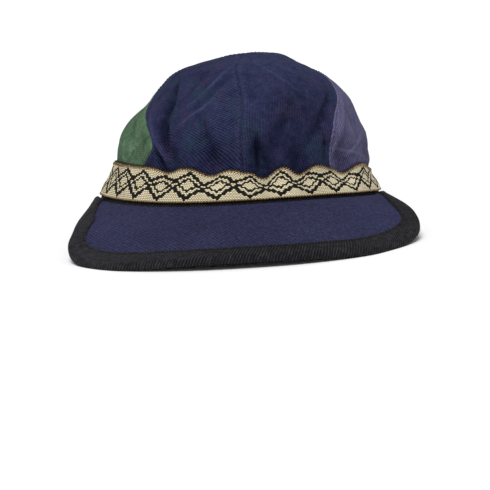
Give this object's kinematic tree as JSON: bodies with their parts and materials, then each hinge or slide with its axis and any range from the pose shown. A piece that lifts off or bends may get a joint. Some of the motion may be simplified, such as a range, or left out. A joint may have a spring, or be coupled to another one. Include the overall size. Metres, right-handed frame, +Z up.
{
  "type": "five-panel cap",
  "caption": "Soft cotton cap with differently coloured side panels, a short bound peak and a patterned webbing strap drawn round the crown",
  "frame": {"origin": "The middle of the bottom of the cap's bounding box, on the surface that it rests on", "axes": "+Z is up, -Y is the way the peak points, and +X is to the right of someone who looks at the front of the cap"},
  "size_m": [0.1977, 0.2698, 0.1025],
  "materials": {
    "front_panel_left": "washed navy cotton twill",
    "front_panel_right": "washed navy cotton twill",
    "side_panel_green": "washed green cotton twill",
    "side_panel_purple": "washed dusty violet cotton twill",
    "back_panel": "washed navy cotton twill",
    "rim_binding": "black woven tape",
    "strap": "beige jacquard webbing with a black diamond pattern",
    "strap_slider": "plain moulded black plastic",
    "peak": "navy cotton twill over a stiff board",
    "peak_binding": "black ribbed tape"
  },
  "bodies": {
    "root": {"front_panel_left": "front_panel_left", "front_panel_right": "front_panel_right", "side_panel_green": "side_panel_green", "side_panel_purple": "side_panel_purple", "back_panel": "back_panel", "rim_binding": "rim_binding", "strap": "strap", "strap_slider": "strap_slider", "peak": "peak", "peak_binding": "peak_binding"}
  },
  "joints": []
}
